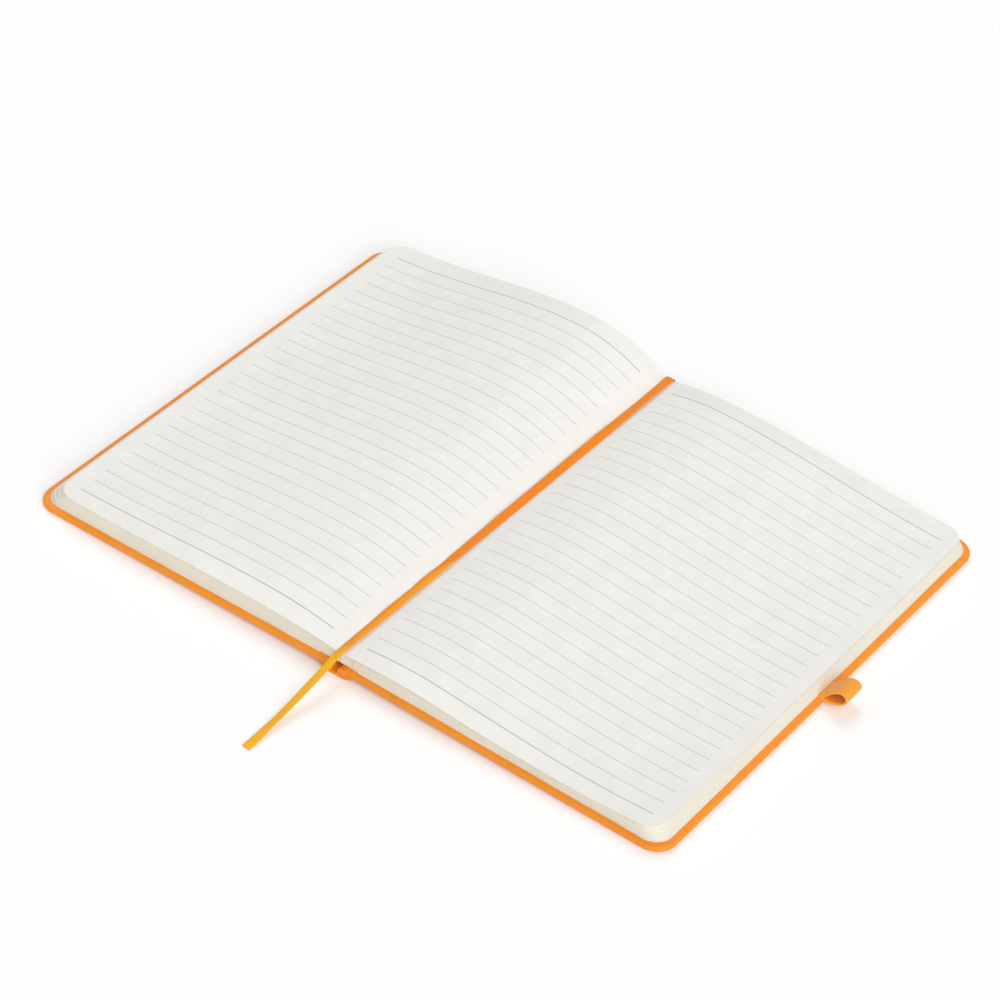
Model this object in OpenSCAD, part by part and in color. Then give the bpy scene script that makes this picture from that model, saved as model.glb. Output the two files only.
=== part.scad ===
// Open hardcover notebook, 130 x 210 mm closed, lying flat on a table at its middle spread.
// X runs across the spread to the right, Y along the spine to the head, Z up from the table.
// The origin is the middle of the spine's underside.

/* [Covers] */
// Height of the covers along the spine
cover_h = 210; // [180:1:240]
// Width of one cover from its spine edge to its fore-edge
cover_w = 130; // [110:1:150]
// Thickness of a wrapped cover board
cover_t = 2.3; // [2:0.1:4]
// Radius of the two outer corners of a cover
cover_r = 8.5; // [5:0.5:14]
// Rounding of the wrapped edges of a cover
cover_edge_r = 1; // [0.5:0.1:1]
// Height of the covers' spine edges above the table
cover_lift = 2; // [1.5:0.1:3]

/* [Spine] */
// Width of the soft spine strip
spine_w = 13; // [11:0.5:18]
// Thickness of the spine strip
spine_t = 1.2; // [0.8:0.1:1.6]
// Width of the flat middle that rests on the table
spine_flat = 3; // [2:0.5:9]
// Height that the spine's edges curve up by
spine_rise = 1.4; // [1:0.1:1.8]
// Gap between the spine's edge and the cover's edge
hinge_gap = 0.7; // [0.5:0.1:0.9]

/* [Leaves] */
// Margin of the cover beyond the leaves at the fore-edge
fore_margin = 2.4; // [1:0.1:5]
// Margin of the cover beyond the leaves at the head and the tail
end_margin = 2; // [1:0.1:5]
// Radius of the leaves' outer corners
leaf_r = 7.5; // [4:0.5:12]
// Thickness of the left stack of leaves at its fore-edge
left_stack_t = 6.8; // [3:0.1:9]
// Thickness of the right stack of leaves at its fore-edge
right_stack_t = 4; // [3:0.1:9]
// Distance that the left stack's top leaf falls short of its bottom one at the fore-edge
left_step = 5.4; // [0:0.1:6]
// Distance that the right stack's top leaf falls short of its bottom one at the fore-edge
right_step = 2.4; // [0:0.1:6]
// Height of the gutter between the two stacks above the table
gutter_h = 9.2; // [8:0.1:12]
// Width of the gutter's flat bottom
gutter_w = 4.4; // [4.2:0.1:9]
// Distance of the left stack's crest from the gutter
left_crest = 38; // [25:1:50]
// Distance of the right stack's crest from the gutter
right_crest = 33; // [20:1:50]
// Rise of the left stack's crest at the head
left_rise_head = 12; // [2:0.2:14]
// Rise of the left stack's crest at the tail
left_rise_tail = 4; // [1:0.2:14]
// Rise of the right stack's crest at the head
right_rise_head = 5.6; // [2:0.2:14]
// Rise of the right stack's crest at the tail
right_rise_tail = 2.8; // [1:0.2:14]
// Dip of the left stack between its crest and its fore-edge, at the tail
left_dip = 0.1; // [0:0.1:1.5]
// Dip of the right stack between its crest and its fore-edge, at the tail
right_dip = 1.5; // [0:0.1:1.5]
// Lift of the right stack's outer corner at the tail
right_curl = 2; // [0:0.1:3]
// Height of the hollow behind the leaves, above the table
hollow_h = 6.5; // [6:0.1:7.5]

/* [Endpapers] */
// Thickness of the endpaper pasted inside each cover
endpaper_t = 0.4; // [0.2:0.1:0.8]

/* [Ribbon bookmark] */
// Width of the ribbon
ribbon_w = 3.4; // [2.6:0.1:3.8]
// Thickness of the ribbon
ribbon_t = 0.5; // [0.4:0.1:0.8]
// Place of the ribbon across the gutter, from the middle
ribbon_x = 0.3; // [-0.4:0.1:0.4]
// Sideways lean of the ribbon where it hangs off the leaves
ribbon_lean = 18; // [0:1:25]

/* [Pen loop] */
// Width of the loop's band along the fore-edge
loop_band_w = 10; // [8:0.5:16]
// Thickness of the loop's band
loop_band_t = 0.9; // [0.6:0.1:1.2]
// Width of the space inside the loop
loop_in_w = 9; // [8.6:0.1:14]
// Height of the space inside the loop
loop_in_h = 5.6; // [5.4:0.1:10]
// Upward tilt of the loop
loop_tilt = 15; // [0:1:20]
// Place of the loop along the fore-edge, from the middle
loop_y = 0.5; // [-60:0.5:60]
// Length of the band's end that is glued under the endpaper
loop_tab = 9; // [5:0.5:14]

/* [Hidden] */
$fn = 64;

cover_orange = "#F7941F";
ribbon_orange = "#FFB52E";
paper_cream = "#F3F1EA";
endpaper_cream = "#EFECE2";

// Clearance between faces that are pasted together
paste_gap = 0.05;
// Half of the slit between the two stacks in the gutter
slit = 0.15;
// Distance of the covers' inner edges and of their outer edges from the middle
inner_x = spine_w / 2 + hinge_gap;
outer_x = inner_x + cover_w;
// Slope of a cover, which rests on its fore-edge and is lifted at the spine
slope = asin(cover_lift / cover_w);
// Small radius of a cover's corners at the spine
inner_r = 1.5;
// Overlap of the pen loop's space with the cover's edge, and length of the loop's root on the cover
loop_set_in = 0.2;
loop_root = 1.6;

// Levels in the covers' own thickness
endpaper_z = cover_t + paste_gap;
leaf_z = endpaper_z + endpaper_t + paste_gap;
// Start of the pasted part of the leaves, their reach from the middle, and half of their height
leaf_flat = inner_x + 1;
leaf_reach = outer_x - fore_margin;
leaf_half_h = cover_h / 2 - end_margin;
// Clearance of the ribbon above the gutter, and the level of its centre line there
ribbon_clear = 0.3;
ribbon_z = gutter_h + ribbon_clear + ribbon_t / 2;

// Sampling of the curved leaves
leaf_steps = 20;
row_steps = 6;
corner_step = 15;
corner_turns = 6;

// Height above the table of a plane at a level in the cover's thickness, at a distance from the middle
function over_cover(s, level) = (outer_x - s) * tan(slope) + level / cos(slope);

// Share of the crest's rise at a distance from the middle
function swell(s, crest) =
    s <= gutter_w / 2 ? 0 :
    s < crest ? pow(sin(90 * (s - gutter_w / 2) / (crest - gutter_w / 2)), 0.75) :
    (1 + cos(180 * (s - crest) / (leaf_reach - crest))) / 2;

// Underside of the leaves: the cover's slope, with the hollow behind the gutter
function leaf_under(s) =
    s >= inner_x ? over_cover(s, leaf_z) :
    hollow_h - (hollow_h - over_cover(inner_x, leaf_z)) * pow(s / inner_x, 2);

// Upper side of the leaves: it swells to the crest and dips a little beyond it
function leaf_top(s, y, stack_t, crest, rise_head, rise_tail, dip, curl) =
    let (fore_top = over_cover(leaf_reach, leaf_z) + stack_t,
         level = gutter_h + (fore_top - gutter_h) * s / leaf_reach,
         headward = (y + leaf_half_h) / (2 * leaf_half_h),
         rise = rise_tail + (rise_head - rise_tail) * headward,
         past = max(0, (s - crest) / (leaf_reach - crest)),
         tailward = max(0, 1 - 2 * headward))
    level + rise * swell(s, crest) - dip * (1 - headward * headward) * sin(180 * past)
        + curl * pow(past, 3) * pow(tailward, 2);

// Stations from the gutter to the fore-edge, with the rounded corner at the end
function stations() = concat(
    [slit, gutter_w / 2, leaf_flat],
    [for (i = [1 : leaf_steps])
        leaf_flat + (leaf_reach - leaf_r - leaf_flat) * pow(i / leaf_steps, 1.2)],
    [for (i = [1 : corner_turns]) leaf_reach - leaf_r + leaf_r * sin(corner_step * i)]);

// Half of the leaves' height at a station, less where the corner is rounded
function half_row(s) =
    let (past = max(0, s - (leaf_reach - leaf_r)))
    leaf_half_h - leaf_r + sqrt(max(0, leaf_r * leaf_r - past * past));

// One stack of leaves as a closed shell on the right of the gutter
module leaf_stack(stack_t, step, crest, rise_head, rise_tail, dip, curl) {
    s = stations();
    n = len(s) - 1;
    m = row_steps;
    shorten = (leaf_reach - step - slit) / (leaf_reach - slit);
    top = [for (i = [0 : n]) for (j = [0 : m])
        let (y = half_row(s[i]) * (2 * j / m - 1))
        [slit + (s[i] - slit) * shorten, y,
         leaf_top(s[i], y, stack_t, crest, rise_head, rise_tail, dip, curl)]];
    under = [for (i = [0 : n]) for (j = [0 : m])
        let (y = half_row(s[i]) * (2 * j / m - 1))
        [s[i], y, leaf_under(s[i])]];
    base = (n + 1) * (m + 1);
    row = m + 1;
    faces = concat(
        [for (i = [0 : n - 1]) for (j = [0 : m - 1]) let (a = i * row + j) [a, a + 1, a + row + 1]],
        [for (i = [0 : n - 1]) for (j = [0 : m - 1]) let (a = i * row + j) [a, a + row + 1, a + row]],
        [for (i = [0 : n - 1]) for (j = [0 : m - 1]) let (a = base + i * row + j) [a, a + row + 1, a + 1]],
        [for (i = [0 : n - 1]) for (j = [0 : m - 1]) let (a = base + i * row + j) [a, a + row, a + row + 1]],
        [for (i = [0 : n - 1]) let (a = i * row) [a, a + row, base + a + row]],
        [for (i = [0 : n - 1]) let (a = i * row) [a, base + a + row, base + a]],
        [for (i = [0 : n - 1]) let (a = i * row + m) [a, base + a + row, a + row]],
        [for (i = [0 : n - 1]) let (a = i * row + m) [a, base + a, base + a + row]],
        [for (j = [0 : m - 1]) [j, base + j, base + j + 1]],
        [for (j = [0 : m - 1]) [j, base + j + 1, j + 1]],
        [for (j = [0 : m - 1]) let (a = n * row + j) [a, base + a + 1, base + a]],
        [for (j = [0 : m - 1]) let (a = n * row + j) [a, a + 1, base + a + 1]]);
    polyhedron(points = concat(top, under), faces = faces);
}

// Round disc of a cover's thickness with rounded rims
module rimmed_disc(r) {
    rotate_extrude($fn = 32)
        intersection() {
            square([r, cover_t]);
            union() {
                square([r - cover_edge_r, cover_t]);
                translate([0, cover_edge_r]) square([r, cover_t - 2 * cover_edge_r]);
                for (z = [cover_edge_r, cover_t - cover_edge_r])
                    translate([r - cover_edge_r, z]) circle(r = cover_edge_r, $fn = 16);
            }
        }
}

// Places its children in the right cover's own frame: X from the fore-edge to the spine, Z its thickness
module on_right_cover() {
    translate([outer_x, 0, 0]) rotate([0, slope, 0]) mirror([1, 0, 0]) children();
}

// Right cover: a wrapped board with rounded outer corners
module cover_board() {
    on_right_cover()
        hull()
            for (side = [-1, 1]) {
                translate([cover_r, side * (cover_h / 2 - cover_r), 0]) rimmed_disc(cover_r);
                translate([cover_w - inner_r, side * (cover_h / 2 - inner_r), 0]) rimmed_disc(inner_r);
            }
}

// Endpaper sheet pasted inside the right cover, cut to the leaves' size
module endpaper_sheet() {
    length = (leaf_reach - leaf_flat) / cos(slope);
    on_right_cover()
        translate([fore_margin, -leaf_half_h, endpaper_z])
            linear_extrude(endpaper_t)
                union() {
                    translate([leaf_r, 0]) square([length - leaf_r, 2 * leaf_half_h]);
                    translate([0, leaf_r]) square([length, 2 * (leaf_half_h - leaf_r)]);
                    for (y = [leaf_r, 2 * leaf_half_h - leaf_r])
                        translate([leaf_r, y]) circle(r = leaf_r);
                }
}

module front_cover() {
    color(cover_orange) mirror([1, 0, 0]) cover_board();
}

module back_cover() {
    color(cover_orange)
        difference() {
            cover_board();
            on_right_cover()
                translate([-1, loop_y - loop_band_w / 2 - paste_gap, cover_t - loop_band_t - paste_gap])
                    cube([1 + fore_margin + loop_tab + paste_gap, loop_band_w + 2 * paste_gap, cover_t]);
        }
}

module front_endpaper() {
    color(endpaper_cream) mirror([1, 0, 0]) endpaper_sheet();
}

module back_endpaper() {
    color(endpaper_cream) endpaper_sheet();
}

// Soft spine strip: a shallow trough whose edges curve up to the covers
module spine() {
    flat = spine_flat / 2;
    run = spine_w / 2 - flat;
    bends = 8;
    right = [for (i = [0 : bends]) [flat + run * i / bends, spine_rise * (1 - cos(90 * i / bends))]];
    left = [for (i = [bends : -1 : 0]) [-right[i][0], right[i][1]]];
    lower = concat(left, right);
    last = len(lower) - 1;
    upper = [for (i = [last : -1 : 0]) lower[i] + [0, spine_t]];
    color(cover_orange)
        translate([0, cover_h / 2, 0])
            rotate([90, 0, 0])
                linear_extrude(cover_h) polygon(concat(lower, upper));
}

module left_pages() {
    color(paper_cream)
        mirror([1, 0, 0])
            leaf_stack(left_stack_t, left_step, left_crest, left_rise_head, left_rise_tail, left_dip, 0);
}

module right_pages() {
    color(paper_cream)
        leaf_stack(right_stack_t, right_step, right_crest, right_rise_head, right_rise_tail,
                   right_dip, right_curl);
}

// Route of the ribbon's centre line: from its glued end in the hollow, over the head edge of the
// leaves, down the gutter, and off the tail edge to the table
head_y = leaf_half_h;
tail_y = -leaf_half_h;
end_z = 0.5;
ribbon_route = concat(
    [for (p = [[head_y - 9, hollow_h - 1.4], [head_y - 4, hollow_h - 1.4], [head_y - 0.5, hollow_h - 1.2],
               [head_y + 1, hollow_h - 0.3], [head_y + 1.4, hollow_h + 1.1], [head_y + 1.2, ribbon_z - 1],
               [head_y + 0.5, ribbon_z - 0.2], [head_y - 0.8, ribbon_z], [head_y - 3, ribbon_z]])
        [ribbon_x, p[0], p[1]]],
    [for (i = [1 : 14]) [ribbon_x, head_y - 3 + i * (tail_y - head_y + 6) / 14, ribbon_z]],
    [[0.3, tail_y - 1.2, ribbon_z - 0.1], [0.4, tail_y - 5, ribbon_z - 0.9],
     [0.4, tail_y - 11, ribbon_z - 2.5], [0.3, tail_y - 18, 5.6], [0.1, tail_y - 25, 3.8],
     [0, tail_y - 32, 2.4], [-0.1, tail_y - 39, 1.4], [0, tail_y - 45, 0.8],
     [0, tail_y - 51, end_z]]);

// Lean of the ribbon at a point: it grows over a first run off the tail edge, and it is gone where
// the ribbon comes down to the table
lean_run = 8;
lean_drop = 2;
function lean_at(p) =
    ribbon_lean * min(1, max(0, (tail_y - p[1]) / lean_run)) * min(1, max(0, (p[2] - end_z) / lean_drop));

// Direction of the route at a point, from its neighbours
function heading(i) =
    let (last = len(ribbon_route) - 1,
         d = ribbon_route[min(last, i + 1)] - ribbon_route[max(0, i - 1)])
    d / norm(d);

// Ribbon bookmark, a flat band swept along its route
module ribbon_bookmark() {
    w = ribbon_w / 2;
    t = ribbon_t / 2;
    soft = ribbon_t / 4;
    section = [[w, -t + soft], [w, t - soft], [w - soft, t], [-w + soft, t],
               [-w, t - soft], [-w, -t + soft], [-w + soft, -t], [w - soft, -t]];
    sides = len(section);
    last = len(ribbon_route) - 1;
    rings = [for (i = [0 : last])
        let (side = [1, 0, 0], d = heading(i), lean = lean_at(ribbon_route[i]),
             face = cross(side, d) / norm(cross(side, d)),
             across = cos(lean) * side - sin(lean) * face,
             through = cos(lean) * face + sin(lean) * side)
        for (q = section) ribbon_route[i] + q[0] * across + q[1] * through];
    walls = [for (i = [0 : last - 1]) for (k = [0 : sides - 1])
        let (a = i * sides + k, b = i * sides + (k + 1) % sides)
        each [[a, a + sides, b + sides], [a, b + sides, b]]];
    ends = [[for (k = [0 : sides - 1]) k], [for (k = [sides - 1 : -1 : 0]) last * sides + k]];
    color(ribbon_orange) polyhedron(points = rings, faces = concat(walls, ends));
}

// Elliptical disc outline with given full width and height
module oval(w, h) {
    polygon([for (a = [0 : 15 : 345]) [w / 2 * cos(a), h / 2 * sin(a)]]);
}

// Pen loop: one band folded into a loop, with its end glued under the endpaper
module pen_loop() {
    bite = 0.6;
    tip_r = 0.2;
    centre = [loop_set_in - loop_in_w / 2, cover_t + loop_in_h / 2 + loop_band_t];
    color(ribbon_orange)
        on_right_cover()
            translate([0, loop_y + loop_band_w / 2, 0])
                rotate([90, 0, 0])
                    linear_extrude(loop_band_w)
                        union() {
                            difference() {
                                hull() {
                                    translate(centre) rotate(-loop_tilt)
                                        oval(loop_in_w + 2 * loop_band_t, loop_in_h + 2 * loop_band_t);
                                    translate([0, cover_t - bite]) square([loop_root, 2 * bite]);
                                }
                                hull() {
                                    translate(centre) rotate(-loop_tilt) oval(loop_in_w, loop_in_h);
                                    translate([2 * tip_r, cover_t + bite + tip_r]) circle(r = tip_r, $fn = 8);
                                }
                            }
                            translate([0, cover_t - loop_band_t])
                                square([fore_margin + loop_tab, loop_band_t]);
                        }
}

front_cover();
spine();
back_cover();
front_endpaper();
back_endpaper();
left_pages();
right_pages();
ribbon_bookmark();
pen_loop();
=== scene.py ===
# %% [markdown]
# An open hardcover notebook, dressed in Blender over its CAD frame.
# The frame gives nine solids in metres: two covers, the spine, two endpapers, two stacks of
# leaves, a ribbon and a pen loop. Every piece made here, but for the two hinge strips, rides on
# one of the frame's bodies.

# %% Load the frame
import math
import bmesh
import bpy
from mathutils import Matrix, Vector


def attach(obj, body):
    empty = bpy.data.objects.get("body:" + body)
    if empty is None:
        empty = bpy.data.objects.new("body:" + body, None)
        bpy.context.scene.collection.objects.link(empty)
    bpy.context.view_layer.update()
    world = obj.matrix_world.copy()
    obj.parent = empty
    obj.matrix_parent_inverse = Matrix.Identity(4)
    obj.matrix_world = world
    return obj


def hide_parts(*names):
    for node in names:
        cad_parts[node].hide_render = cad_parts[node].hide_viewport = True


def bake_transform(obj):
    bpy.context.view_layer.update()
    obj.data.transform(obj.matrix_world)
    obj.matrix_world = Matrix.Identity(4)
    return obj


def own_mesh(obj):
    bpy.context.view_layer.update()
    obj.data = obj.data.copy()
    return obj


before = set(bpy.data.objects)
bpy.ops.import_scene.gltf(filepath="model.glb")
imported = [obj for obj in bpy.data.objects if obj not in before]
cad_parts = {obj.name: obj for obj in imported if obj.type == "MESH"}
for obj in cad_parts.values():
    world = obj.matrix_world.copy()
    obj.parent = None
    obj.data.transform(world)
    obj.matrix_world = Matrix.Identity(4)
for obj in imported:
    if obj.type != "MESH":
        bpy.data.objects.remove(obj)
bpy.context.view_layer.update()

# %% [markdown]
# The camera stands where the photographer's stood: in front of the tail, to the right, about
# 1.4 m away, looking down by 40 degrees with a long lens and a slight roll. A long lens keeps
# the two long sides of the covers nearly parallel. The point it looks at is near the spine.

# %% Camera
MM = 0.001


def add_camera(look_at, azimuth, elevation, roll, distance, lens):
    azimuth, elevation, roll = (math.radians(angle) for angle in (azimuth, elevation, roll))
    back = Vector((math.sin(azimuth) * math.cos(elevation), -math.cos(azimuth) * math.cos(elevation),
                   math.sin(elevation)))
    right = (-back).cross(Vector((0, 0, 1))).normalized()
    up = right.cross(-back)
    turned_right = right * math.cos(roll) + up * math.sin(roll)
    turned_up = up * math.cos(roll) - right * math.sin(roll)
    turn = Matrix((turned_right, turned_up, back)).transposed().to_4x4()
    data = bpy.data.cameras.new("camera")
    data.lens = lens
    data.sensor_width = 36
    data.clip_end = 20
    camera = bpy.data.objects.new("camera", data)
    bpy.context.scene.collection.objects.link(camera)
    camera.matrix_world = Matrix.Translation(look_at + back * distance) @ turn
    bpy.context.scene.camera = camera
    return camera


look_at = Vector((-12.19, 10.54, 0)) * MM
camera = add_camera(look_at, azimuth=31.287, elevation=39.528, roll=6.906, distance=1395.4 * MM,
                    lens=136.81)
print("camera at", [round(v, 3) for v in camera.location])

# %% [markdown]
# A few helpers. Everything that an operator could touch is deselected before a primitive is
# added, so that the frame's own nodes are left alone. Colours are written as sRGB hex values,
# as a paint chart gives them, and one function turns them to the linear values that shaders use.

# %% Helpers for making and finishing pieces
def deselect():
    if bpy.context.object and bpy.context.object.mode != "OBJECT":
        bpy.ops.object.mode_set(mode="OBJECT")
    bpy.ops.object.select_all(action="DESELECT")


def only(piece):
    deselect()
    piece.select_set(True)
    bpy.context.view_layer.objects.active = piece


def linear(hex_colour):
    channels = [int(hex_colour[i : i + 2], 16) / 255 for i in (1, 3, 5)]
    bent = [c / 12.92 if c <= 0.04045 else ((c + 0.055) / 1.055) ** 2.4 for c in channels]
    return (*bent, 1)


def apply_modifier(piece, kind, **settings):
    only(piece)
    modifier = piece.modifiers.new(kind.lower(), kind)
    for name, value in settings.items():
        setattr(modifier, name, value)
    bpy.ops.object.modifier_apply(modifier=modifier.name)


def settle(piece, smooth_angle=40):
    only(piece)
    bpy.ops.object.transform_apply(location=True, rotation=True, scale=True)
    bpy.ops.object.mode_set(mode="EDIT")
    bpy.ops.mesh.select_all(action="SELECT")
    bpy.ops.mesh.remove_doubles(threshold=0.000004)
    bpy.ops.mesh.normals_make_consistent(inside=False)
    bpy.ops.object.mode_set(mode="OBJECT")
    bpy.ops.object.shade_smooth_by_angle(angle=math.radians(smooth_angle))
    print(piece.name, len(piece.data.polygons), "faces")


# A link names a socket, or a node, whose first output is then used
def add_node(tree, kind, settings=None, links=None, inputs=None):
    node = tree.nodes.new(kind)
    for name, value in (settings or {}).items():
        setattr(node, name, value)
    for name, value in (inputs or {}).items():
        node.inputs[name].default_value = value
    for name, source in (links or {}).items():
        socket = source.outputs[0] if isinstance(source, bpy.types.Node) else source
        tree.links.new(socket, node.inputs[name])
    return node


# %% [markdown]
# The sizes below repeat the construction's own, in millimetres. A cover is a 2.3 mm board that
# rests on its fore-edge and is lifted by 2 mm at the spine, so it slopes by about one degree.
# The leaves lie on that slope and swell towards the gutter, more at the head than at the tail.
# Two things go beyond the construction: the left stack steps back a little further from its
# fore-edge, and beyond the ruling the swell droops towards the cut ends, where nothing holds it up.

# %% Sizes and the shape of the leaves
COVER_W, COVER_H, COVER_T = 130.0, 210.0, 2.3
INNER_X = 7.2
OUTER_X = INNER_X + COVER_W
SPINE_LIFT = 2.0
SLOPE = math.asin(SPINE_LIFT / COVER_W)
LEAF_Z = 2.8
LEAF_REACH, LEAF_HALF_H, LEAF_R = 134.8, 103.0, 7.5
SLIT = 0.15
GUTTER_H, GUTTER_HALF = 9.2, 2.2
HOLLOW_H = 6.5
SWELL_POWER = 0.75
DROOP_FROM, DROOP_POWER = 94.0, 1.5
SINK_FROM, SINK_RUN, SINK_REACH, SINK_GAP = 90.0, 8.0, 8.3, 0.03
STACKS = {
    -1: dict(thick=6.8, step=6.1, crest=38.0, head=12.0, tail=4.0, dip=0.1, curl=0.0,
             droop_head=0.9, droop_tail=2.2, body="front_cover", hinge="front_hinge"),
    1: dict(thick=4.0, step=2.4, crest=33.0, head=5.6, tail=2.8, dip=1.5, curl=2.0,
            droop_head=1.9, droop_tail=1.5, body="back_cover", hinge="back_hinge"),
}


# Below, s is the way across one side of the book, from the middle of the gutter
def over_cover(s, level):
    return (OUTER_X - s) * math.tan(SLOPE) + level / math.cos(SLOPE)


def swell(s, crest):
    if s <= GUTTER_HALF:
        return 0.0
    if s < crest:
        return math.sin(math.pi / 2 * (s - GUTTER_HALF) / (crest - GUTTER_HALF)) ** SWELL_POWER
    return (1 + math.cos(math.pi * (s - crest) / (LEAF_REACH - crest))) / 2


def leaf_top(side, x, y):
    stack = STACKS[side]
    shorten = (LEAF_REACH - stack["step"] - SLIT) / (LEAF_REACH - SLIT)
    s = min(LEAF_REACH, SLIT + (x - SLIT) / shorten)
    fore_top = over_cover(LEAF_REACH, LEAF_Z) + stack["thick"]
    level = GUTTER_H + (fore_top - GUTTER_H) * s / LEAF_REACH
    headward = (y + LEAF_HALF_H) / (2 * LEAF_HALF_H)
    rise = stack["tail"] + (stack["head"] - stack["tail"]) * headward
    past = max(0.0, (s - stack["crest"]) / (LEAF_REACH - stack["crest"]))
    tailward = max(0.0, 1 - 2 * headward)
    dip = stack["dip"] * (1 - headward**2) * math.sin(math.pi * past)
    beyond_lines = max(0.0, (abs(y) - DROOP_FROM) / (LEAF_HALF_H - DROOP_FROM))
    droop = (stack["droop_head"] if y > 0 else stack["droop_tail"]) * beyond_lines**DROOP_POWER
    return level + (rise - droop) * swell(s, stack["crest"]) - dip + stack["curl"] * past**3 * tailward**2


def leaf_under(s):
    if s >= INNER_X:
        return over_cover(s, LEAF_Z)
    edge = over_cover(INNER_X, LEAF_Z)
    return HOLLOW_H - (HOLLOW_H - edge) * (s / INNER_X) ** 2


def leaf_floor(s, y):
    # At the tail the folds sit down on the lining, so no hollow shows there
    sunk = min(1.0, max(0.0, (-SINK_FROM - y) / SINK_RUN)) if s < SINK_REACH else 0.0
    return leaf_under(s) - sunk * (leaf_under(s) - over_cover(s, COVER_T) - SINK_GAP)


def half_row(s, reach):
    past = max(0.0, s - (reach - LEAF_R))
    return LEAF_HALF_H - LEAF_R + math.sqrt(max(0.0, LEAF_R**2 - past**2))


for side, name in ((-1, "left"), (1, "right")):
    tops = [round(leaf_top(side, s, y), 1) for s in (3, 30, 80, 130) for y in (-100, 100)]
    print(name, "stack, heights in mm from gutter to fore-edge, tail and head:", tops)

# %% [markdown]
# Paper. The leaves are uncoated writing paper with a faint grey ruling, offset printed, 7 mm
# apart. The ruling stands in the material and not in the mesh: it is a test on Object
# coordinates, so it follows the paper's curve, and no line is thicker than real ink.
# The cut edges of the leaves are a second material. A guillotine leaves them matt. They are tinted
# a little creamier than the face, with fine strata, which are far finer than a pixel and so drawn
# coarser.

# %% Paper materials
LINE_FIRST, LINE_PITCH, LINE_COUNT = 93.9, 7.035, 28
LINE_WIDTH = 0.34
# The first and last line are printed darker, so the rows between them take this much less ink
INNER_FADE = 0.42
MATH = "ShaderNodeMath"
PER_METRE = 1000
ALONG_STRATA = 40


def principled(name, colour, roughness, specular=0.3):
    material = bpy.data.materials.new(name)
    material.use_nodes = True
    tree = material.node_tree
    shader = tree.nodes["Principled BSDF"]
    shader.inputs["Base Color"].default_value = linear(colour)
    shader.inputs["Roughness"].default_value = roughness
    shader.inputs["Specular IOR Level"].default_value = specular
    return material, tree, shader


def ruled_paper(name, line_from, line_to):
    material, tree, shader = principled(name, "#F1F0EB", 0.85, 0.2)
    place = add_node(tree, "ShaderNodeTexCoord").outputs["Object"]
    split = add_node(tree, "ShaderNodeSeparateXYZ", links={"Vector": place})
    across = add_node(tree, MATH, {"operation": "MULTIPLY"}, {0: split.outputs["X"]}, {1: PER_METRE})
    along = add_node(tree, MATH, {"operation": "MULTIPLY"}, {0: split.outputs["Y"]}, {1: PER_METRE})
    below_first = add_node(tree, MATH, {"operation": "SUBTRACT"}, {1: along}, {0: LINE_FIRST})
    count = add_node(tree, MATH, {"operation": "DIVIDE"}, {0: below_first}, {1: LINE_PITCH})
    nearest = add_node(tree, MATH, {"operation": "ROUND"}, {0: count})
    part = add_node(tree, MATH, {"operation": "SUBTRACT"}, {0: count, 1: nearest})
    part_size = add_node(tree, MATH, {"operation": "ABSOLUTE"}, {0: part})
    off = add_node(tree, MATH, {"operation": "MULTIPLY"}, {0: part_size}, {1: LINE_PITCH})
    on_line = add_node(tree, MATH, {"operation": "LESS_THAN"}, {0: off}, {1: LINE_WIDTH / 2})
    middle_row = (LINE_COUNT - 1) / 2
    in_rows = add_node(tree, MATH, {"operation": "COMPARE"}, {0: nearest},
                       {1: middle_row, 2: middle_row + 0.1})
    in_width = add_node(tree, MATH, {"operation": "COMPARE"}, {0: across},
                        {1: (line_from + line_to) / 2, 2: abs(line_to - line_from) / 2})
    in_block = add_node(tree, MATH, {"operation": "MULTIPLY"}, {0: on_line, 1: in_rows})
    inked = add_node(tree, MATH, {"operation": "MULTIPLY"}, {0: in_block, 1: in_width})
    inner_rows = add_node(tree, MATH, {"operation": "COMPARE"}, {0: nearest},
                          {1: middle_row, 2: middle_row - 0.5})
    fade = add_node(tree, MATH, {"operation": "MULTIPLY"}, {0: inner_rows}, {1: INNER_FADE})
    weight = add_node(tree, MATH, {"operation": "SUBTRACT"}, {1: fade}, {0: 1.0})
    ink = add_node(tree, MATH, {"operation": "MULTIPLY"}, {0: inked, 1: weight})
    pulp = add_node(tree, "ShaderNodeTexNoise", inputs={"Scale": 120, "Detail": 5, "Roughness": 0.6},
                    links={"Vector": place})
    tint = add_node(tree, "ShaderNodeValToRGB", links={"Fac": pulp.outputs["Fac"]})
    tint.color_ramp.elements[0].position = 0.3
    tint.color_ramp.elements[0].color = linear("#F0EEE8")
    tint.color_ramp.elements[1].position = 0.7
    tint.color_ramp.elements[1].color = linear("#F6F4EE")
    mix = add_node(tree, "ShaderNodeMix", {"data_type": "RGBA"},
                   {"Factor": ink, "A": tint.outputs["Color"]})
    mix.inputs["B"].default_value = linear("#AAABAC")
    tree.links.new(mix.outputs["Result"], shader.inputs["Base Color"])
    tooth = add_node(tree, "ShaderNodeTexNoise", inputs={"Scale": 1600, "Detail": 3},
                     links={"Vector": place})
    bump = add_node(tree, "ShaderNodeBump", inputs={"Strength": 0.12, "Distance": 0.0002},
                    links={"Height": tooth.outputs["Fac"]})
    tree.links.new(bump.outputs["Normal"], shader.inputs["Normal"])
    return material


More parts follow.
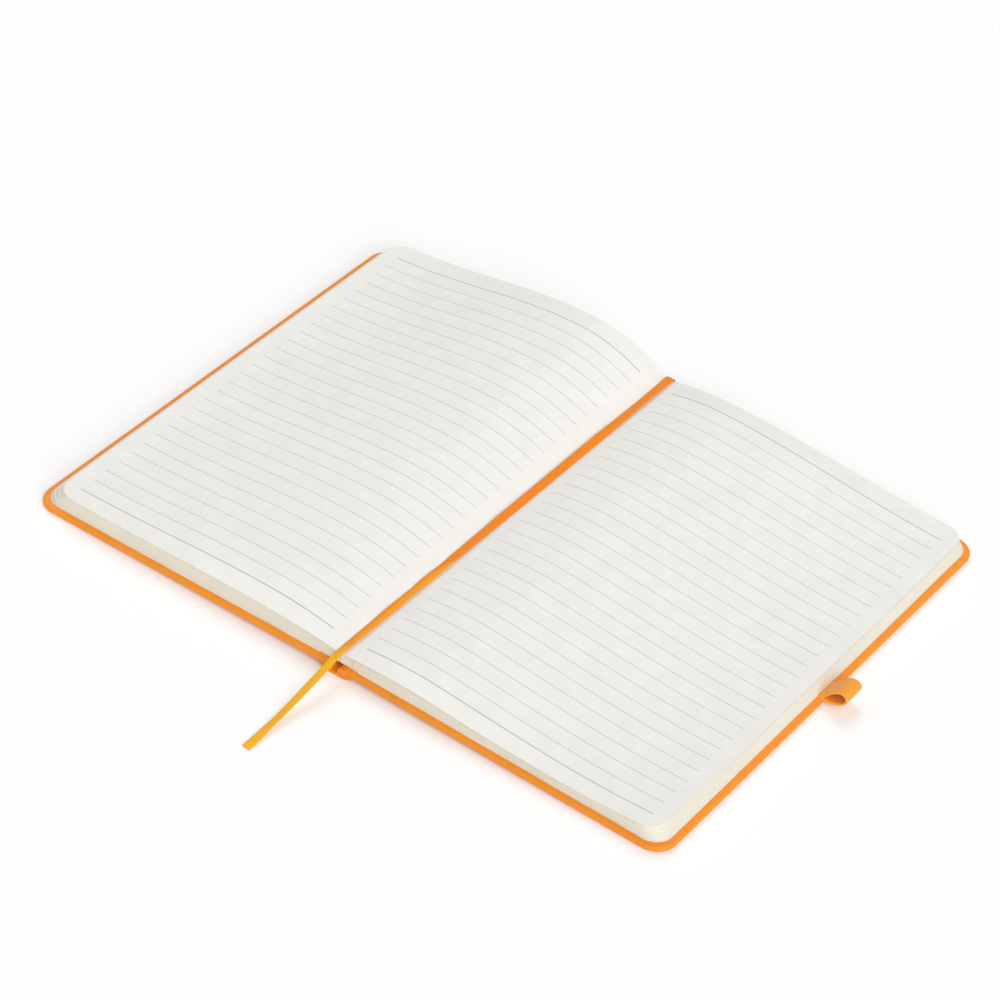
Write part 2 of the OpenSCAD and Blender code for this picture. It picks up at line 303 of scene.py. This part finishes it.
def cut_edges(name, strata):
    material, tree, shader = principled(name, "#F4EEDF", 0.9, 0.15)
    place = add_node(tree, "ShaderNodeTexCoord").outputs["Object"]
    split = add_node(tree, "ShaderNodeSeparateXYZ", links={"Vector": place})
    level = add_node(tree, "ShaderNodeAttribute", {"attribute_name": "leaf_level"})
    sources = {"X": (split.outputs["X"], ALONG_STRATA), "Y": (split.outputs["Y"], ALONG_STRATA),
               "Z": (level.outputs["Fac"], strata)}
    scaled = {axis: add_node(tree, MATH, {"operation": "MULTIPLY"}, {0: source}, {1: factor})
              for axis, (source, factor) in sources.items()}
    stretched = add_node(tree, "ShaderNodeCombineXYZ", links=scaled)
    strata_noise = add_node(tree, "ShaderNodeTexNoise", inputs={"Scale": 1.0, "Detail": 2},
                            links={"Vector": stretched.outputs[0]})
    tint = add_node(tree, "ShaderNodeValToRGB", links={"Fac": strata_noise.outputs["Fac"]})
    tint.color_ramp.elements[0].position = 0.3
    tint.color_ramp.elements[0].color = linear("#E4DFC9")
    tint.color_ramp.elements[1].position = 0.6
    tint.color_ramp.elements[1].color = linear("#F3F0E2")
    tree.links.new(tint.outputs["Color"], shader.inputs["Base Color"])
    bump = add_node(tree, "ShaderNodeBump", inputs={"Strength": 0.35, "Distance": 0.0003},
                    links={"Height": strata_noise.outputs["Fac"]})
    tree.links.new(bump.outputs["Normal"], shader.inputs["Normal"])
    return material


left_paper = ruled_paper("uncoated_ruled_paper_left", -122.5, -8.0)
right_paper = ruled_paper("uncoated_ruled_paper_right", 6.5, 126.5)
edge_paper = cut_edges("guillotined_leaf_edges", 26)
print("ruling:", LINE_COUNT, "lines,", LINE_PITCH, "mm apart")

# %% [markdown]
# The leaves. A real stack is sewn sheets: the lower ones lie flat on the cover, and the upper
# ones arch away from them near the gutter, which leaves a soft shadow at the tail. Each side is
# made of three kinds of piece. Three flat bundles ride on the cover. The arched leaves and the
# top leaf ride on it too. The folds in the gutter and the sheet on them stay over the spine.
# Each piece starts as a grid, is extruded to a slab and is bent by the rule above.

# %% Bent slabs of leaves
# Share of the steps that the rounded corners take, and how the other steps crowd to the gutter
CORNER_SHARE, STEP_CROWDING = 0.16, 1.25
# Where the slant of the fore-edge starts, and how far it runs, in millimetres
SLANT_FROM, SLANT_RUN = 100.0, 35.0


def bent_slab(name, side, s_from, s_to, top, under, steps, rows, trim=(0.0, 0.0), rounded=True,
              shorten=0.0):
    deselect()
    bpy.ops.mesh.primitive_grid_add(x_subdivisions=steps, y_subdivisions=rows, size=2)
    slab = bpy.context.object
    slab.name = name
    slab.data.name = name
    bpy.ops.object.mode_set(mode="EDIT")
    bpy.ops.mesh.select_all(action="SELECT")
    bpy.ops.mesh.extrude_region_move(TRANSFORM_OT_translate={"value": (0, 0, 1)})
    bpy.ops.object.mode_set(mode="OBJECT")
    level = slab.data.attributes.new("leaf_level", "FLOAT", "POINT")
    for i, vertex in enumerate(slab.data.vertices):
        u = (vertex.co.x + 1) / 2
        v = vertex.co.y
        w = 1.0 if vertex.co.z > 0.5 else 0.0
        if rounded:
            straight = s_to - LEAF_R
            if u <= 1 - CORNER_SHARE:
                s = s_from + (straight - s_from) * (u / (1 - CORNER_SHARE)) ** STEP_CROWDING
            else:
                s = straight + LEAF_R * math.sin(math.pi / 2 * (u - 1 + CORNER_SHARE) / CORNER_SHARE)
            half = half_row(s, s_to)
        else:
            s = s_from + (s_to - s_from) * u
            half = LEAF_HALF_H
        y = (half - trim[1] * w - trim[0] * (1 - w)) * v
        x = s - w * shorten * max(0.0, (s - SLANT_FROM) / SLANT_RUN)
        z = top(s, y) if w else under(s, y)
        vertex.co = Vector((side * x, y, z)) * MM
        level.data[i].value = w
    slab.data.materials.append(left_paper if side < 0 else right_paper)
    slab.data.materials.append(edge_paper)
    for face in slab.data.polygons:
        ends = {round(level.data[v].value) for v in face.vertices}
        face.material_index = 0 if ends == {1} else 1
    settle(slab, 35)
    return slab


# How far the folds in the gutter reach, and the thickness of a top sheet
FOLD, SHEET = 5.6, 0.35
# The arched leaves: thickness at the fore-edge, least thickness, how far they stop short of the
# top leaf, and how far they reach into it
ARCH_FORE, ARCH_LEAST, ARCH_SHORT, ARCH_OVERLAP = 0.55, 0.6, 0.2, 0.02
# The bundles make the fanned fore-edge. Each one steps back from the one below by a share of the
# stack's step, and slants by another share
BUNDLES, BUNDLE_STEP, BUNDLE_SLANT = 3, 0.305, 0.27
for side, label in ((-1, "left"), (1, "right")):
    stack = STACKS[side]
    block_thick = stack["thick"] - ARCH_FORE
    reach = LEAF_REACH - stack["step"]

    def block_top(s, y, side=side, block_thick=block_thick):
        return min(over_cover(s, LEAF_Z + block_thick), leaf_top(side, s, y) - ARCH_LEAST)

    bundles = []
    for n in range(BUNDLES):
        low = n / BUNDLES
        high = (n + 1) / BUNDLES

        def bundle_top(s, y, high=high, block_top=block_top):
            floor = leaf_floor(s, y)
            return floor + (block_top(s, y) - floor) * high

        def bundle_under(s, y, low=low, block_top=block_top):
            floor = leaf_floor(s, y)
            return floor + (block_top(s, y) - floor) * low

        bundles.append(bent_slab(
            f"{label}_leaves_{n + 1}", side, FOLD, LEAF_REACH - stack["step"] * BUNDLE_STEP * n,
            bundle_top, bundle_under, steps=60, rows=30, trim=(0.3 + 0.1 * n, 0.4 + 0.1 * n),
            shorten=stack["step"] * BUNDLE_SLANT))
    for bundle in bundles:
        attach(bundle, stack["body"])

    def arch_top(s, y, side=side):
        return leaf_top(side, s, y) - SHEET + ARCH_OVERLAP

    arched = bent_slab(f"{label}_arched_leaves", side, FOLD, reach - ARCH_SHORT, arch_top, block_top,
                       steps=70, rows=36, trim=(0.6, 1.5))

    def sheet_under(s, y, side=side):
        return leaf_top(side, s, y) - SHEET

    def sheet_top(s, y, side=side):
        return leaf_top(side, s, y)

    top_leaf = bent_slab(f"{label}_top_leaves", side, FOLD, reach, sheet_top, sheet_under,
                         steps=90, rows=48)
    level = LEAF_Z + block_thick
    for piece in (arched, top_leaf):
        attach(piece, stack["body"])
        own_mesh(piece)

    folds = bent_slab(f"{label}_gutter_folds", side, SLIT, FOLD, arch_top, leaf_floor,
                      steps=16, rows=48, trim=(0.4, 1.4), rounded=False)
    fold_sheet = bent_slab(f"{label}_gutter_sheet", side, SLIT, FOLD, sheet_top, sheet_under,
                           steps=16, rows=48, rounded=False)
    for piece in (folds, fold_sheet):
        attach(piece, "spine")
        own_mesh(piece)
    for piece in (*bundles, arched, top_leaf, folds, fold_sheet):
        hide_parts(f"{label}_pages")

# %% [markdown]
# Imitation leather. The covers are board wrapped in polyurethane-coated fabric: a film cast on
# a grained release paper, so it has a fine pebble grain, a satin sheen and rounded, slightly
# lighter edges. The grain's cells are about 0.7 mm. A Voronoi pattern gives the cells and a
# noise breaks their regularity.

# %% Cover material
def imitation_leather(name, colour, deep, light):
    material, tree, shader = principled(name, colour, 0.5, 0.4)
    place = add_node(tree, "ShaderNodeTexCoord").outputs["Object"]
    cells = add_node(tree, "ShaderNodeTexVoronoi", {"feature": "DISTANCE_TO_EDGE"},
                     {"Vector": place}, {"Scale": 1300, "Randomness": 1.0})
    soft = add_node(tree, "ShaderNodeMapRange", links={"Value": cells.outputs["Distance"]},
                    inputs={"From Min": 0.0, "From Max": 0.22})
    patches = add_node(tree, "ShaderNodeTexNoise", links={"Vector": place},
                       inputs={"Scale": 60, "Detail": 4})
    tint = add_node(tree, "ShaderNodeValToRGB", links={"Fac": patches.outputs["Fac"]})
    tint.color_ramp.elements[0].position = 0.3
    tint.color_ramp.elements[0].color = linear(deep)
    tint.color_ramp.elements[1].position = 0.7
    tint.color_ramp.elements[1].color = linear(light)
    tree.links.new(tint.outputs["Color"], shader.inputs["Base Color"])
    rough = add_node(tree, "ShaderNodeMapRange", links={"Value": soft.outputs["Result"]},
                     inputs={"To Min": 0.62, "To Max": 0.46})
    tree.links.new(rough.outputs["Result"], shader.inputs["Roughness"])
    bump = add_node(tree, "ShaderNodeBump", inputs={"Strength": 0.25, "Distance": 0.00025},
                    links={"Height": soft.outputs["Result"]})
    tree.links.new(bump.outputs["Normal"], shader.inputs["Normal"])
    return material


cover_skin = imitation_leather("pu_imitation_leather_orange", "#F7941F", "#F5911D", "#F89722")

# %% [markdown]
# The covers. A cover board starts as a cube of its size. Its two outer corners are bevelled to
# the rounded corners that keep the board from fraying, and the two at the hinge are only eased.
# Then all rims are rounded, because the wrap is turned over them. The board is tilted to its
# slope and its transform is applied.

# %% Cover boards
CORNER_R, HINGE_CORNER_R, WRAP_R = 8.5, 1.5, 0.95


def cover_board(name, side, body, node):
    deselect()
    bpy.ops.mesh.primitive_cube_add(size=1)
    board = bpy.context.object
    board.name = name
    board.data.name = name
    board.scale = (COVER_W * MM, COVER_H * MM, COVER_T * MM)
    bpy.ops.object.transform_apply(location=False, rotation=False, scale=True)
    for outward, radius, segments in ((1, CORNER_R, 14), (-1, HINGE_CORNER_R, 5)):
        bpy.ops.object.mode_set(mode="EDIT")
        bpy.ops.mesh.select_mode(type="EDGE")
        bpy.ops.mesh.select_all(action="DESELECT")
        shape = bmesh.from_edit_mesh(board.data)
        for edge in shape.edges:
            first, second = (v.co for v in edge.verts)
            upright = abs(first.z - second.z) > COVER_T * MM * 0.9
            edge.select = upright and first.x * side * outward > COVER_W * MM * 0.45
        bmesh.update_edit_mesh(board.data)
        bpy.ops.mesh.bevel(offset=radius * MM, segments=segments)
        bpy.ops.object.mode_set(mode="OBJECT")
    bpy.ops.object.mode_set(mode="EDIT")
    bpy.ops.mesh.select_all(action="DESELECT")
    shape = bmesh.from_edit_mesh(board.data)
    for edge in shape.edges:
        level = abs(edge.verts[0].co.z - edge.verts[1].co.z) < 1e-6
        edge.select = level and len(edge.link_faces) == 2 and edge.calc_face_angle() > 1.0
    bmesh.update_edit_mesh(board.data)
    bpy.ops.mesh.bevel(offset=WRAP_R * MM, segments=4)
    bpy.ops.object.mode_set(mode="OBJECT")
    turn = Matrix.Rotation(side * SLOPE, 4, "Y")
    fore_edge = Matrix.Translation(Vector((side * OUTER_X, 0, 0)) * MM)
    centre = Matrix.Translation(Vector((-side * COVER_W / 2, 0, COVER_T / 2)) * MM)
    board.matrix_world = fore_edge @ turn @ centre
    board.data.materials.append(cover_skin)
    settle(board, 45)
    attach(board, body)
    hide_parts(node)


cover_board("front_cover_board", -1, "front_cover", "front_cover")
cover_board("back_cover_board", 1, "back_cover", "back_cover")

# %% [markdown]
# The endpapers are plain offset paper, pasted inside the covers. The frame's own solids have
# the right shape, so they keep it and only get a paper finish, that of the cut leaf edges.

# %% Endpaper finish
def give_material(node, material):
    node_object = bpy.data.objects[node]
    node_object.data.materials.clear()
    node_object.data.materials.append(material)


for node in ("front_endpaper", "back_endpaper"):
    give_material(node, edge_paper)

# %% [markdown]
# The spine is the same wrap without a board, so it hangs between the covers as a soft trough.
# A strip is extruded edge by edge along its section, as one would lay tape along a curve, then
# Solidify gives it its thickness. Two narrow strips join it to the covers over the hinge lines.

# %% Strips that follow a section
def strip_along(name, section, y_from, y_to, thickness, rows=1, offset=1.0):
    deselect()
    bpy.ops.mesh.primitive_plane_add(size=1)
    strip = bpy.context.object
    strip.name = name
    strip.data.name = name
    bpy.ops.object.mode_set(mode="EDIT")
    bpy.ops.mesh.select_mode(type="VERT")
    shape = bmesh.from_edit_mesh(strip.data)
    start, after = section[0], section[1]
    for vertex in shape.verts:
        first = vertex.co.x < 0
        x, z = start if first else after
        y = y_from if vertex.co.y < 0 else y_to
        vertex.co = Vector((x, y, z)) * MM
        vertex.select = not first
    shape.select_flush_mode()
    bmesh.update_edit_mesh(strip.data)
    for before, now in zip(section[1:], section[2:]):
        step = Vector((now[0] - before[0], 0, now[1] - before[1])) * MM
        bpy.ops.mesh.extrude_region_move(TRANSFORM_OT_translate={"value": step})
    if rows > 1:
        bpy.ops.mesh.select_all(action="DESELECT")
        shape = bmesh.from_edit_mesh(strip.data)
        for edge in shape.edges:
            edge.select = abs(edge.verts[0].co.y - edge.verts[1].co.y) > 1e-6
        bmesh.update_edit_mesh(strip.data)
        bpy.ops.mesh.subdivide(number_cuts=rows - 1)
    bpy.ops.object.mode_set(mode="OBJECT")
    apply_modifier(strip, "SOLIDIFY", thickness=thickness * MM, offset=offset)
    return strip


TROUGH_FLAT, TROUGH_RUN, TROUGH_RISE = 1.5, 5.0, 1.4
SPINE_T = 1.15
HINGE_STRIP_X = (5.1, 5.7, 6.3, 6.9, 7.5, 8.1, 8.8, 9.5)
HINGE_STRIP_DEEP, HINGE_STRIP_HALF, HINGE_STRIP_T, HINGE_STRIP_R = 1.14, 104.9, 2.2, 0.85


def trough(x):
    past = max(0.0, abs(x) - TROUGH_FLAT)
    return TROUGH_RISE * (1 - math.cos(math.pi / 2 * past / TROUGH_RUN))


spine_section = [(x / 4, trough(x / 4)) for x in range(-26, 27, 2)]
spine_strip = strip_along("spine_strip", spine_section, -COVER_H / 2, COVER_H / 2, SPINE_T, rows=40)
spine_strip.data.materials.append(cover_skin)
settle(spine_strip, 50)
print("spine strip, lowest point in mm:", round(min(v.co.z for v in spine_strip.data.vertices) * 1000, 3))
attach(spine_strip, "spine")
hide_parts("spine")

for side, label, body in ((-1, "front", "front_cover"), (1, "back", "back_cover")):
    section = [(side * x, over_cover(x, COVER_T) - HINGE_STRIP_DEEP) for x in HINGE_STRIP_X]
    joint_strip = strip_along(f"{label}_hinge_strip", section, -HINGE_STRIP_HALF, HINGE_STRIP_HALF,
                              HINGE_STRIP_T, rows=24, offset=0.0)
    apply_modifier(joint_strip, "BEVEL", width=HINGE_STRIP_R * MM, segments=3, limit_method="ANGLE",
                   angle_limit=math.radians(60))
    joint_strip.data.materials.append(cover_skin)
    settle(joint_strip, 50)
    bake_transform(joint_strip)

# %% [markdown]
# At the head and the tail the wrap is turned in over the lining of the spine. The doubled wrap
# stands up beside the gutter, so that the covers' rims seem to run on to the ribbon, with a
# narrow dark slit between them. Each turn-in starts as a filled circle whose corners are moved
# to its section, and the section is extruded along the spine.

# %% Turn-ins of the spine
TURN_IN, TURN_IN_OUTER, TURN_IN_LOW, TURN_IN_GAP, TURN_IN_R = 12.0, 5.3, 1.05, 0.05, 0.45
TURN_IN_TOPS = {-1: [(2.2, 1.5), (2.6, 3.2), (3.3, 3.95)], 1: [(0.7, 1.5), (1.0, 3.2), (1.7, 3.95)]}


def turn_in(name, side, tail_end):
    top = TURN_IN_TOPS[side]
    first = top[0][0] - 0.6
    low = [(x, trough(x) + TURN_IN_LOW) for x in (TURN_IN_OUTER, 4.5, 3.7, 2.9)]
    low.append((first, TURN_IN_LOW))
    outline = low + top + [(TURN_IN_OUTER, over_cover(TURN_IN_OUTER, COVER_T) - TURN_IN_GAP)]
    deselect()
    bpy.ops.mesh.primitive_circle_add(vertices=len(outline), fill_type="NGON")
    piece = bpy.context.object
    piece.name = name
    piece.data.name = name
    y = -COVER_H / 2 + TURN_IN_GAP if tail_end else COVER_H / 2 - TURN_IN - TURN_IN_GAP
    for vertex, (x, z) in zip(piece.data.vertices, outline):
        vertex.co = Vector((side * x, y, z)) * MM
    bpy.ops.object.mode_set(mode="EDIT")
    bpy.ops.mesh.select_all(action="SELECT")
    bpy.ops.mesh.extrude_region_move(TRANSFORM_OT_translate={"value": (0, TURN_IN * MM, 0)})
    bpy.ops.object.mode_set(mode="OBJECT")
    apply_modifier(piece, "BEVEL", width=TURN_IN_R * MM, segments=3, limit_method="ANGLE",
                   angle_limit=math.radians(50))
    piece.data.materials.append(cover_skin)
    settle(piece, 50)
    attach(piece, "spine")
    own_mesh(piece)


for side, label in ((-1, "left"), (1, "right")):
    for tail_end, place in ((True, "tail"), (False, "head")):
        turn_in(f"{label}_{place}_turn_in", side, tail_end)

# %% [markdown]
# The ribbon bookmark is 3.4 mm satin ribbon: continuous filament warp, so it shines along its
# length, with firm edges. It is glued inside the spine at the head, comes over the leaves, lies
# in the gutter and runs off the tail to the table. It is a flat cord: the route's points are
# the construction's own, smoothed, and it takes a slight twist where the photo shows a glint.
# Its colour paints light and shade. Past the twist it turns from a deep orange to a lighter yellow that
# stands for the satin's sheen. Painted shade keeps its left edge deeper along the gutter, and on the
# table it is painted all in the sheen yellow.

# %% Ribbon
HEAD_Y, TAIL_Y = LEAF_HALF_H, -LEAF_HALF_H
RIBBON_Z = 9.75
RIBBON_W, RIBBON_T = 3.4, 0.3
TURNS_OVER_Y = -42
head_bend = [(9, HOLLOW_H - 1.4), (4, HOLLOW_H - 1.4), (0.5, HOLLOW_H - 1.2), (-1, HOLLOW_H - 0.3),
             (-1.4, HOLLOW_H + 1.1), (-1.2, RIBBON_Z - 1), (-0.5, RIBBON_Z - 0.2), (0.8, RIBBON_Z),
             (3, RIBBON_Z)]
ribbon_route = (
    [(0.3, HEAD_Y - back, z) for back, z in head_bend]
    + [(0.3, HEAD_Y - 3 + i * (TAIL_Y - HEAD_Y + 6) / 14, RIBBON_Z) for i in range(1, 15)]
    + [(0.3, TAIL_Y - 1.2, RIBBON_Z - 0.1), (0.4, TAIL_Y - 5, RIBBON_Z - 0.9),
       (0.4, TAIL_Y - 11, RIBBON_Z - 2.5), (0.3, TAIL_Y - 18, 5.6), (0.1, TAIL_Y - 25, 3.8),
       (0, TAIL_Y - 32, 2.4), (-0.1, TAIL_Y - 39, 1.4), (0, TAIL_Y - 45, 0.8), (0, TAIL_Y - 51, 0.5)])
# Lean of the ribbon about its own length, in degrees, with its right edge up, at places along Y
LEANS = [(-153, 0), (-148, 6), (-140, 20), (-116, 14), (-100, 16), (-84, 12), (-76, 2), (-60, 10),
         (-52, 0), (-42, 14), (-36, 6), (-20, 2), (-8, -7), (36, -7), (52, -10), (60, -4), (68, 4),
         (84, 10), (96, 6), (101, 0)]


def lean_at(y):
    if y <= LEANS[0][0] or y >= LEANS[-1][0]:
        return 0.0
    for (y_low, low), (y_high, high) in zip(LEANS, LEANS[1:]):
        if y <= y_high:
            t = (y - y_low) / (y_high - y_low)
            return math.radians(low + (high - low) * t * t * (3 - 2 * t))


def smooth_route(points, per_span):
    knots = [Vector(p) for p in points]
    knots = [knots[0] * 2 - knots[1]] + knots + [knots[-1] * 2 - knots[-2]]
    line = []
    for i in range(1, len(knots) - 2):
        a, b, c, d = knots[i - 1 : i + 3]
        for j in range(per_span):
            t = j / per_span
            line.append(0.5 * (2 * b + (c - a) * t + (2 * a - 5 * b + 4 * c - d) * t**2
                               + (3 * b - a - 3 * c + d) * t**3))
    line.append(knots[-2])
    return line


def walked_to(y):
    way = 0.0
    line = smooth_route(ribbon_route, 6)
    for before, now in zip(line, line[1:]):
        way += (now - before).length
        if before.z > RIBBON_Z - 0.5 and before.y < y + 100 and now.y <= y:
            return way


TWIST_AT, TAIL_AT = walked_to(TURNS_OVER_Y), walked_to(TAIL_Y)
print("the ribbon turns over", round(TWIST_AT), "mm along, and leaves the leaves at", round(TAIL_AT))


def ribbon_material():
    material, tree, shader = principled("satin_ribbon_orange", "#FBA526", 0.5, 0.15)
    weave = add_node(tree, "ShaderNodeUVMap", {"uv_map": "ribbon"})
    split = add_node(tree, "ShaderNodeSeparateXYZ", links={"Vector": weave.outputs["UV"]})
    across = split.outputs["X"]
    walked = split.outputs["Y"]
    threads = add_node(tree, "ShaderNodeTexWave", {"bands_direction": "X", "wave_profile": "SIN"},
                       {"Vector": weave.outputs["UV"]}, {"Scale": 1.5, "Distortion": 0.4, "Detail": 1})
    slant = add_node(tree, MATH, {"operation": "MULTIPLY"}, {0: across}, {1: 2.2})
    turned = add_node(tree, MATH, {"operation": "ADD"}, {0: walked, 1: slant})
    # Painted sheen: from the twist on, the ribbon is painted towards the lighter sheen yellow
    sheen_past_twist = add_node(tree, "ShaderNodeMapRange", {"clamp": True}, {"Value": turned},
                         {"From Min": TWIST_AT - 2, "From Max": TWIST_AT + 3})
    # Painted shade: in the gutter the left edge is held closer to the deep orange
    shade = add_node(tree, "ShaderNodeMapRange", {"clamp": True}, {"Value": across},
                     {"From Min": -1.3, "From Max": 0.3, "To Min": 0.85, "To Max": 0.5})
    # On the table the painted sheen yellow is full
    off_tail = add_node(tree, "ShaderNodeMapRange", {"clamp": True}, {"Value": walked},
                        {"From Min": TAIL_AT - 6, "From Max": TAIL_AT + 4, "To Min": 1, "To Max": 0})
    shaded = add_node(tree, MATH, {"operation": "MULTIPLY"},
                      {0: shade.outputs["Result"], 1: off_tail.outputs["Result"]})
    shade_past_twist = add_node(tree, MATH, {"operation": "MULTIPLY"},
                           {0: shaded, 1: sheen_past_twist.outputs["Result"]})
    light = add_node(tree, MATH, {"operation": "SUBTRACT"},
                     {0: sheen_past_twist.outputs["Result"], 1: shade_past_twist})
    # A is the deep orange of the ribbon turned from the light, B the painted sheen yellow
    tint = add_node(tree, "ShaderNodeMix", {"data_type": "RGBA"}, {"Factor": light})
    tint.inputs["A"].default_value = linear("#F78A18")
    tint.inputs["B"].default_value = linear("#FFBC26")
    threads_seen = add_node(tree, MATH, {"operation": "MULTIPLY"}, {0: threads.outputs["Fac"]}, {1: 0.06})
    thread_tint = add_node(tree, "ShaderNodeMix", {"data_type": "RGBA", "blend_type": "MULTIPLY"},
                           {"Factor": threads_seen, "A": tint.outputs["Result"]})
    thread_tint.inputs["B"].default_value = linear("#C8A070")
    tree.links.new(thread_tint.outputs["Result"], shader.inputs["Base Color"])
    bump = add_node(tree, "ShaderNodeBump", inputs={"Strength": 0.2, "Distance": 0.0001},
                    links={"Height": threads.outputs["Fac"]})
    tree.links.new(bump.outputs["Normal"], shader.inputs["Normal"])
    return material


def make_ribbon(width, thickness):
    line = smooth_route(ribbon_route, 6)
    mesh = bpy.data.meshes.new("satin_ribbon")
    shape = bmesh.new()
    loops = shape.loops.layers.uv.new("ribbon")
    across = [-1, -0.96, -0.5, 0, 0.5, 0.96, 1]
    walked = 0.0
    rings = []
    for i, point in enumerate(line):
        ahead = line[min(i + 1, len(line) - 1)] - line[max(i - 1, 0)]
        ahead.normalize()
        if i:
            walked += (point - line[i - 1]).length
        lean = lean_at(point.y) if point.z > RIBBON_Z - 0.05 or point.y < 0 else 0.0
        side_way = Vector((1, 0, 0))
        side_way = (side_way - ahead * side_way.dot(ahead)).normalized()
        face = side_way.cross(ahead)
        turned = side_way * math.cos(lean) - face * math.sin(lean)
        lift = turned.cross(ahead)
        ring = []
        for half in (1, -1):
            order = across if half > 0 else reversed(across)
            for q in order:
                edge = thickness * (0.5 if abs(q) < 0.95 else 0.32 if abs(q) < 0.99 else 0.12)
                place = point + turned * (q * width / 2) + lift * (half * edge)
                ring.append((shape.verts.new(place * MM), q, walked))
        rings.append(ring)
    count = len(rings[0])
    for low, high in zip(rings, rings[1:]):
        for i in range(count):
            following = (i + 1) % count
            corners = [low[i], low[following], high[following], high[i]]
            face = shape.faces.new([c[0] for c in corners])
            for loop, (vertex, q, far) in zip(face.loops, corners):
                loop[loops].uv = (q * 3.0, far)
    shape.faces.new([c[0] for c in rings[0]][::-1])
    shape.faces.new([c[0] for c in rings[-1]])
    shape.to_mesh(mesh)
    shape.free()
    ribbon = bpy.data.objects.new("satin_ribbon", mesh)
    bpy.context.scene.collection.objects.link(ribbon)
    ribbon.data.materials.append(ribbon_material())
    settle(ribbon, 60)
    return ribbon, line


ribbon, ribbon_line = make_ribbon(RIBBON_W, RIBBON_T)
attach(ribbon, "spine")
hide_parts("ribbon_bookmark")

# %% [markdown]
# The pen loop is a short end of elastic webbing, folded double and glued between the back
# cover and its endpaper, so a loop stands out over the fore-edge. The band is extruded along
# its section and given its thickness, and ribs run along it as they do in woven elastic.

# %% Pen loop
def elastic_material():
    material, tree, shader = principled("woven_elastic_orange", "#F9A02A", 0.6, 0.3)
    shader.inputs["Sheen Weight"].default_value = 0.2
    place = add_node(tree, "ShaderNodeTexCoord").outputs["Object"]
    ribs = add_node(tree, "ShaderNodeTexWave", {"bands_direction": "Y", "wave_profile": "SIN"},
                    {"Vector": place}, {"Scale": 330, "Distortion": 0.3, "Detail": 1})
    tint = add_node(tree, "ShaderNodeValToRGB", links={"Fac": ribs.outputs["Fac"]})
    tint.color_ramp.elements[0].color = linear("#F2931E")
    tint.color_ramp.elements[1].color = linear("#FFB03A")
    tree.links.new(tint.outputs["Color"], shader.inputs["Base Color"])
    bump = add_node(tree, "ShaderNodeBump", inputs={"Strength": 0.35, "Distance": 0.0002},
                    links={"Height": ribs.outputs["Fac"]})
    tree.links.new(bump.outputs["Normal"], shader.inputs["Normal"])
    return material


LOOP_Y, LOOP_BAND_W, LOOP_BAND_T = 0.5, 10.0, 0.85
loop_section = [(128.0, 2.1), (131.0, 2.1), (134.0, 2.15), (135.6, 2.55), (136.8, 3.5), (138.2, 5.1),
                (139.8, 6.8), (141.6, 8.3), (143.5, 9.05), (145.3, 8.7), (146.2, 7.4), (145.8, 5.8),
                (144.4, 4.5), (142.5, 3.6), (140.5, 3.0), (138.6, 2.7), (137.2, 2.65), (136.1, 2.55)]
loop_line = [(p.x, p.z) for p in smooth_route([(x, 0, z) for x, z in loop_section], 3)]
pen_loop = strip_along("elastic_pen_loop", loop_line, LOOP_Y - LOOP_BAND_W / 2,
                       LOOP_Y + LOOP_BAND_W / 2, LOOP_BAND_T, rows=10, offset=0.0)
apply_modifier(pen_loop, "BEVEL", width=0.25 * MM, segments=2, limit_method="ANGLE",
               angle_limit=math.radians(50))
pen_loop.data.materials.append(elastic_material())
settle(pen_loop, 50)
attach(pen_loop, "back_cover")
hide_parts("pen_loop")

# %% [markdown]
# The table is a plain white sheet that runs far past the view. To the camera it glows a little,
# so that it reads as white while the notebook's shadow stays on it. A broad lamp stands in front
# at the right and a weak one behind at the left, under an even white sky, as in a light tent.
# The tent is dimmer as a light than it looks, so that it is white in the view and in reflections.

# %% Table and light
def looked_at(tree):
    rays = add_node(tree, "ShaderNodeLightPath")
    straight = add_node(tree, MATH, {"operation": "MAXIMUM"},
                        {0: rays.outputs["Is Camera Ray"], 1: rays.outputs["Is Transmission Ray"]})
    return add_node(tree, MATH, {"operation": "MAXIMUM"}, {0: straight, 1: rays.outputs["Is Glossy Ray"]})


deselect()
bpy.ops.mesh.primitive_plane_add(size=8, location=(0, 0, 0))
table = bpy.context.object
table.name = "table_top"
table_material = bpy.data.materials.new("white_seamless_paper")
table_material.use_nodes = True
tree = table_material.node_tree
tree.nodes.clear()
matt = add_node(tree, "ShaderNodeBsdfDiffuse", inputs={"Color": linear("#FAFAFA")})
glow = add_node(tree, "ShaderNodeEmission", inputs={"Color": (1, 1, 1, 1), "Strength": 0.09})
both = add_node(tree, "ShaderNodeAddShader", links={0: matt, 1: glow})
choose = add_node(tree, "ShaderNodeMixShader", links={"Fac": looked_at(tree), 1: matt, 2: both})
add_node(tree, "ShaderNodeOutputMaterial", links={"Surface": choose})
table.data.materials.append(table_material)

world = bpy.data.worlds.new("light_tent")
bpy.context.scene.world = world
world.use_nodes = True
tent = world.node_tree
level = add_node(tent, "ShaderNodeMapRange", links={"Value": looked_at(tent)},
                 inputs={"To Min": 0.43, "To Max": 1.0})
tent.nodes["Background"].inputs["Color"].default_value = (1, 1, 1, 1)
tent.links.new(level.outputs["Result"], tent.nodes["Background"].inputs["Strength"])


def add_sun(name, strength, toward, angle):
    data = bpy.data.lights.new(name, "SUN")
    data.energy = strength
    data.angle = math.radians(angle)
    lamp = bpy.data.objects.new(name, data)
    bpy.context.scene.collection.objects.link(lamp)
    lamp.rotation_euler = Vector(toward).to_track_quat("Z", "Y").to_euler()


add_sun("right_front_light", strength=1.8, toward=(0.66, -0.46, 0.59), angle=50)
add_sun("left_back_light", strength=0.7, toward=(-0.45, 0.45, 0.77), angle=30)

bpy.context.scene.view_settings.view_transform = "Standard"
